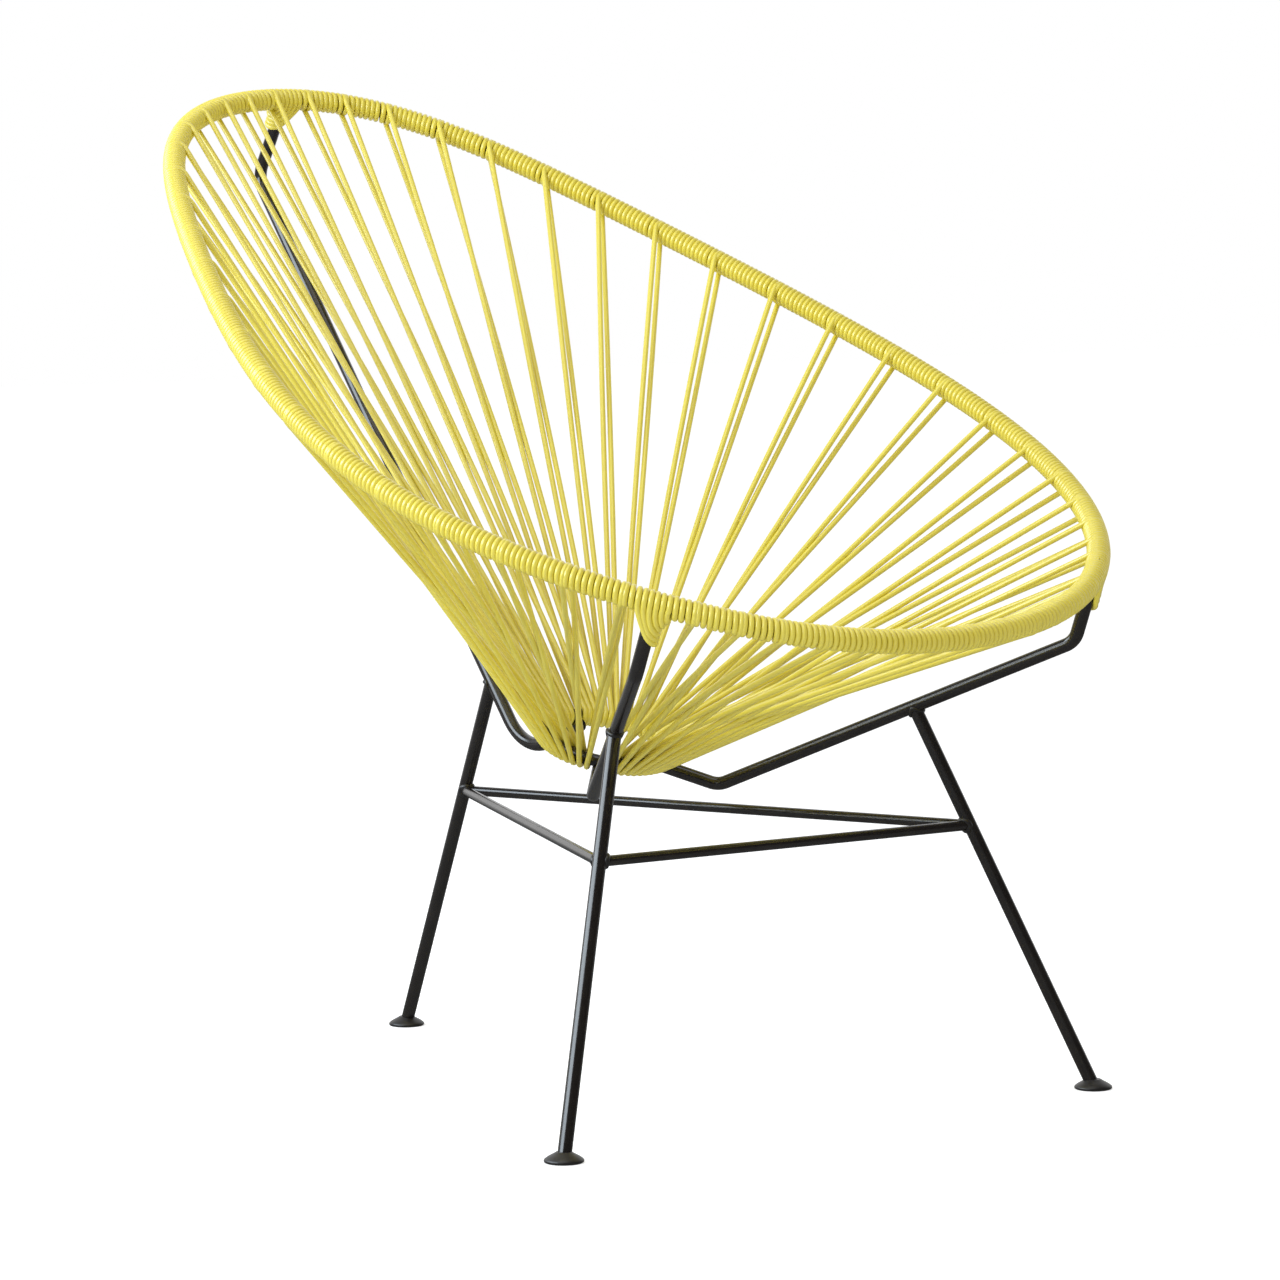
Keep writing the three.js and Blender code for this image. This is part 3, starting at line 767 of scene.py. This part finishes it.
def half_sling(distance, reach, face, out, down, away, girth, depth):
    """From a face of the hoop down and round to the strut's side, as angle, depth and radius round it."""
    strut, along, _, _ = hoop_frame(distance)
    slope = float(np.dot(along, down))
    aside = -reach * math.sqrt(1 - slope * slope)
    begin, high = math.atan2(aside, WIND_RADIUS), reach * slope
    t = np.linspace(0, 1, SLING_POINTS)[:, None]
    turns = cubic(t, begin, begin, QUARTER_TURN - SLING_TURN_REACH * (QUARTER_TURN - begin), QUARTER_TURN)
    depths = cubic(t, high, high + SLING_DROP_REACH * (depth - high), depth, depth)
    plane = WIND_RADIUS + (SLUNG_RADIUS - WIND_RADIUS) * t
    far = math.hypot(aside, WIND_RADIUS) if aside > 0 else girth
    wide = np.maximum(plane, far + (girth - far) * t)
    radii = np.where(turns < 0, plane / np.cos(np.minimum(turns, 0)), wide)
    wrap = strut + depths * down + radii * (np.cos(turns) * out + np.sin(turns) * away)
    wrap[0] = round_hoop(distance + reach, face, WIND_RADIUS)
    return wrap


class CordPath:
    """The points that one length of cord follows, with its thickness at each."""

    def __init__(self, distance, phase):
        self.distance = distance
        self.phase = phase
        self.lean = 0
        self.points = []
        self.thick = []

    def add(self, points, thickness):
        points = np.atleast_2d(points)
        self.points.extend(points)
        self.thick.extend(np.broadcast_to(thickness, len(points)))

    def blend_onto(self, line, thickness):
        """A smooth bend from the cord's end so far onto the start of a line, with its thickness there."""
        before, last = self.points[-2:]
        turn = smooth_turn(last, unit(last - before), line[0], unit(line[1] - line[0]))
        self.add(turn, np.linspace(self.thick[-1], thickness, BLEND_POINTS))

    def turns_to(self, distance, phase):
        """How many turns, with their fraction, bring the winding to a place and phase at about its pitch."""
        part = (phase - self.phase) % FULL_TURN / FULL_TURN
        return max(round((distance - self.distance) / CORD_PITCH - part), 0) + part

    def pitch_to(self, distance, turns):
        """The pitch on the way to a place, neither crowded nor stretched."""
        pitch = (distance - self.distance) / max(turns, FEWEST_TURNS)
        return min(max(pitch, TIGHTEST_PITCH), LOOSEST_PITCH)

    def settled(self, distance, phase):
        """The nearest place that the winding reaches without being crowded or stretched."""
        turns = self.turns_to(distance, phase)
        return self.distance + turns * self.pitch_to(distance, turns)

    def wind_to(self, distance, phase, lean_end=0.0):
        """Winds round the hoop to a place, ending at a phase."""
        turns = self.turns_to(distance, phase)
        sweep = FULL_TURN * turns
        count = max(int(round(POINTS_PER_TURN * turns)), 2)
        share = np.linspace(0, 1, count + 1)
        phases = self.phase + sweep * share
        places = self.distance + (distance - self.distance) * share
        wobble = rng.standard_normal(count // POINTS_PER_TURN + SPARE_KNOTS) * WRAP_UNEVENNESS
        knots = np.arange(len(wobble))
        places = places + np.interp(share * knots[-1], knots, wobble) * np.sin(math.pi * share)
        # The turns next to a gap lean into it.
        for lean, here in ((self.lean, phases - self.phase), (lean_end, self.phase + sweep - phases)):
            near = np.clip(1 - np.abs(here - LEAN_MIDDLE) / LEAN_REACH, 0, 1)
            places = places + lean * near * near * (3 - 2 * near)
        thickness = WOUND_FULLNESS * self.pitch_to(distance, turns) / CORD_DIAMETER
        self.add(round_hoop(places, phases, WIND_RADIUS), thickness)
        self.distance = distance
        self.phase = self.phase + sweep

    def string_pair(self, distance, angle):
        """From the hoop's upper side down under the ring, round it, and from its top back under the hoop."""
        ring_point, ring_along = ring_frame(angle)
        run_phase = phase_of(unit(ring_point - hoop_frame(distance)[0]), distance)
        leave = self.settled(distance - HALF_GAP_AT_HOOP, run_phase - QUARTER_TURN)
        back = leave + 2 * HALF_GAP_AT_HOOP
        centre, along, side, over = hoop_frame(leave + HALF_GAP_AT_HOOP)
        run = unit(ring_point - centre)
        slant = np.dot(run, along) / max(math.hypot(np.dot(run, over), np.dot(run, side)), LEAST_ACROSS)
        radius = WIND_RADIUS + min(abs(slant) * LIFT_SLOPE, STRAND_LIFT)
        start = round_hoop(leave, run_phase - QUARTER_TURN, radius)
        end = round_hoop(back, run_phase + QUARTER_TURN, radius)
        above = facing(unit(np.cross(ring_along, run)), UP)
        inward = facing(unit(np.cross(above, ring_along)), run)
        aside = facing(unit(np.cross(run, above)), along)
        bow = passing_bow(along, ring_along, aside)
        loop = ring_loop(ring_point, ring_along, inward, above)
        down = strand(start, loop[0], -bow * aside)
        rise = strand(loop[-1], end, bow * aside)
        self.wind_to(leave, run_phase - QUARTER_TURN - BLEND_TURN, GAP_CLOSING)
        self.blend_onto(down, TAUT_THICKNESS)
        for part in (down, loop, rise):
            self.add(part, TAUT_THICKNESS)
        self.phase = run_phase + QUARTER_TURN + BLEND_TURN
        self.distance = back
        onto = round_hoop(np.array([back, back]), np.array([self.phase, self.phase + PHASE_STEP]), WIND_RADIUS)
        self.blend_onto(onto, 1)
        self.lean = -GAP_CLOSING

    def sling_strut(self, distance, down, first, count):
        """Slings the cord round a strut's top: down the hoop's inner face, round the strut, up the outer."""
        _, along, side, _ = hoop_frame(distance)
        phase = phase_of(down, distance)
        away = unit(-along + np.dot(along, down) * down)
        out = facing(np.cross(away, down), side)
        self.wind_to(distance + first, phase - QUARTER_TURN)
        for k in range(count):
            depth = SLING_FIRST_DEPTH + k * SLING_DEPTH_STEP
            girth = SLUNG_RADIUS + max(SLING_FIRST_CLEAR - k * SLING_CLEAR_STEP, 0)
            inner_reach, outer_reach = first + k * CORD_PITCH, first + (k + 0.5) * CORD_PITCH
            ways = (down, away, girth, depth)
            inner = half_sling(distance, inner_reach, phase - QUARTER_TURN, -out, *ways)
            outer = half_sling(distance, outer_reach, phase + QUARTER_TURN, out, *ways)
            self.add(inner, SLING_FULLNESS)
            self.add(outer[::-1][1:], SLING_FULLNESS)
            self.distance = distance + first + (k + 0.5) * CORD_PITCH
            self.phase = phase + QUARTER_TURN
            if k < count - 1:
                share = np.linspace(0, 1, POINTS_PER_TURN // 2)[1:-1]
                places = self.distance + share * CORD_PITCH / 2
                self.add(round_hoop(places, self.phase + share * math.pi, WIND_RADIUS), SLING_FULLNESS)
        self.lean = 0


# The seat's cord

def strut_place(name):
    """Where a strut meets the hoop, its direction down from there and the phase at which it leaves."""
    side = SIDES[name]
    _, _, high, top = strut_corners(side)
    at = side * STRUT_HOOP_LENGTH % HOOP_LENGTH
    down = unit(high - top)
    return at, down, phase_of(down, at)


def cord_piece(name, cord, panels):
    """Sweeps a cord along its path, where points that nearly fall together are left out."""
    line = np.array(cord.points)
    steps = np.linalg.norm(np.diff(line, axis=0), axis=1)
    kept = np.concatenate([[True], steps > SHORTEST_STEP])
    lines = [(line[kept], np.array(cord.thick)[kept], False)]
    piece = swept("seat_cord_" + name, lines, CORD_DIAMETER, CORD_SIDES, CORD)
    finish_piece(piece, "cord", *panels)
    print(f"seat_cord_{name} is {steps.sum():.3f} m long")


def seat_cord():
    """One length of cord for each stretch of hoop between two struts, with the slings at its start."""
    panels = sorted(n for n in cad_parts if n.startswith("cord_panel_"))
    stretches = (("right", "back", "right"), ("front", "right", "left"), ("left", "left", "back"))
    pairs = pair_places()
    count, first = SLINGS["back"]
    for index, (name, strut, next_strut) in enumerate(stretches):
        at, down, phase = strut_place(strut)
        cord = CordPath(at + first - SLING_LEAD, phase - math.pi)
        cord.sling_strut(at, down, first, count)
        for distance, angle in pairs[name]:
            cord.string_pair(distance, angle + RING_UNEVENNESS * rng.uniform(-1, 1))
        at, _, phase = strut_place(next_strut)
        count, first = SLINGS[next_strut]
        if next_strut == "back":
            end = at + HOOP_LENGTH + first - SLING_LEAD
        else:
            # The next stretch's slings start where this one's winding settles.
            end = cord.settled(at + first - SLING_LEAD, phase - math.pi)
            first = end - at + SLING_LEAD
        cord.wind_to(end, phase - math.pi)
        share = len(panels) / len(stretches)
        cord_piece(name, cord, panels[round(index * share):round((index + 1) * share)])


rod_pieces()
weld_pieces()
foot_pieces()
seat_cord()


# Studio

CAMERA_TARGET = Vector((-0.0239, 0.0, 0.3963)) + Vector(FORWARD)
CAMERA_AZIMUTH = math.radians(-35.79)
CAMERA_ELEVATION = math.radians(5.04)
CAMERA_ROLL = math.radians(-0.37)
CAMERA_DISTANCE = 4.6407
FOCAL_SHARE = 5296 / 1280
SENSOR_WIDTH = 36
NEAREST_SEEN = 0.1
FURTHEST_SEEN = 100
LAMP_TARGET = Vector((0, -0.05, 0.45))

# The floor and the backdrop: how light they are, and where reflections of them turn from dark to white
FLOOR_REACH = 14.0
FLOOR_ROUGHNESS = 0.9
FLOOR_GLOW = 0.45
FLOOR_WHITENESS = 0.85
FLOOR_IN_REFLECTIONS = 0.14
FLOOR_BEHIND = (0.4, 2.5)
WORLD_LIGHT = 0.70
ROOM_IN_REFLECTIONS = 0.04
WORLD_BEHIND = (0.2, 0.9)


def place_camera():
    sight = Vector((-math.sin(CAMERA_AZIMUTH) * math.cos(CAMERA_ELEVATION),
                    math.cos(CAMERA_AZIMUTH) * math.cos(CAMERA_ELEVATION), -math.sin(CAMERA_ELEVATION)))
    right = sight.cross(Vector((0, 0, 1))).normalized()
    above = right.cross(sight)
    turned_right = math.cos(CAMERA_ROLL) * right + math.sin(CAMERA_ROLL) * above
    turned_up = math.cos(CAMERA_ROLL) * above - math.sin(CAMERA_ROLL) * right
    data = bpy.data.cameras.new("camera")
    data.sensor_width = SENSOR_WIDTH
    data.lens = SENSOR_WIDTH * FOCAL_SHARE
    data.clip_start = NEAREST_SEEN
    data.clip_end = FURTHEST_SEEN
    camera = new_object("camera", data)
    place = CAMERA_TARGET - CAMERA_DISTANCE * sight
    camera.matrix_world = Matrix((
        (turned_right.x, turned_up.x, -sight.x, place.x),
        (turned_right.y, turned_up.y, -sight.y, place.y),
        (turned_right.z, turned_up.z, -sight.z, place.z),
        (0, 0, 0, 1),
    ))
    bpy.context.scene.camera = camera


def softbox(name, azimuth, elevation, distance, width, height, power, colour=(1, 1, 1)):
    """An oblong lamp aimed at the chair; azimuth is measured from the camera's side, to its right."""
    data = bpy.data.lights.new(name, "AREA")
    data.shape = "RECTANGLE"
    data.size = width
    data.size_y = height
    data.energy = power
    data.color = colour
    lamp = new_object(name, data)
    turn = CAMERA_AZIMUTH + math.radians(azimuth)
    rise = math.radians(elevation)
    toward = Vector((math.sin(turn) * math.cos(rise), -math.cos(turn) * math.cos(rise), math.sin(rise)))
    lamp.location = LAMP_TARGET + distance * toward
    lamp.rotation_euler = toward.to_track_quat("Z", "Y").to_euler()


def ahead(nodes, links, vector, reach):
    """A share that rises from nought to one between two places along the level line of sight."""
    sight = add(nodes, "ShaderNodeVectorMath", operation="DOT_PRODUCT")
    sight.inputs[1].default_value = (-math.sin(CAMERA_AZIMUTH), math.cos(CAMERA_AZIMUTH), 0)
    links.new(vector, sight.inputs[0])
    near, far = reach
    share = add(nodes, "ShaderNodeMapRange", interpolation_type="SMOOTHSTEP", From_Min=near, From_Max=far)
    links.new(sight.outputs["Value"], share.inputs["Value"])
    return share.outputs[0]


def seen_share(nodes, links, behind):
    """One for what the camera sees directly or through something and for reflections of the white backdrop.

    With it comes one for every reflection.
    """
    rays = add(nodes, "ShaderNodeLightPath")
    glossy = rays.outputs["Is Glossy Ray"]
    camera, through = rays.outputs["Is Camera Ray"], rays.outputs["Is Transmission Ray"]
    direct = of_two(nodes, links, "MAXIMUM", camera, through)
    mirrored = of_two(nodes, links, "MULTIPLY", glossy, behind)
    return of_two(nodes, links, "MAXIMUM", direct, mirrored), glossy


def paper_floor():
    mesh = bpy.data.meshes.new("floor")
    corners = [(x * FLOOR_REACH, y * FLOOR_REACH, 0) for x, y in ((-1, -1), (1, -1), (1, 1), (-1, 1))]
    mesh.from_pydata(corners, [], [(0, 1, 2, 3)])
    floor = new_object("floor", mesh)
    material, nodes, links, shader = new_material("white_paper")
    shader.inputs["Roughness"].default_value = FLOOR_ROUGHNESS
    shader.inputs["Specular IOR Level"].default_value = 0.0
    place = add(nodes, "ShaderNodeTexCoord")
    behind = ahead(nodes, links, place.outputs["Object"], FLOOR_BEHIND)
    seen, glossy = seen_share(nodes, links, behind)
    paper = between(nodes, links, glossy, FLOOR_WHITENESS, FLOOR_IN_REFLECTIONS)
    links.new(paper, shader.inputs["Base Color"])
    glow = add(nodes, "ShaderNodeEmission")
    links.new(times(nodes, links, seen, FLOOR_GLOW), glow.inputs["Strength"])
    both = add(nodes, "ShaderNodeAddShader")
    links.new(shader.outputs[0], both.inputs[0])
    links.new(glow.outputs[0], both.inputs[1])
    links.new(both.outputs[0], nodes["Material Output"].inputs["Surface"])
    material.cycles.emission_sampling = "NONE"
    mesh.materials.append(material)


def white_world():
    """A white backdrop behind the chair; the room on the camera's side is darker in reflections."""
    world = bpy.data.worlds.new("studio")
    bpy.context.scene.world = world
    world.use_nodes = True
    nodes, links = world.node_tree.nodes, world.node_tree.links
    background = nodes["Background"]
    background.inputs["Color"].default_value = (1, 1, 1, 1)
    direction = add(nodes, "ShaderNodeTexCoord")
    behind = ahead(nodes, links, direction.outputs["Generated"], WORLD_BEHIND)
    seen, glossy = seen_share(nodes, links, behind)
    room = between(nodes, links, glossy, WORLD_LIGHT, ROOM_IN_REFLECTIONS)
    links.new(of_two(nodes, links, "MAXIMUM", seen, room), background.inputs["Strength"])


place_camera()
softbox("left_softbox", azimuth=-72, elevation=26, distance=2.6, width=3.6, height=1.3, power=76,
        colour=(0.81, 0.91, 1.0))
softbox("top_softbox", azimuth=-20, elevation=72, distance=2.6, width=2.0, height=2.0, power=14)
paper_floor()
white_world()
bpy.context.scene.view_settings.view_transform = "Standard"
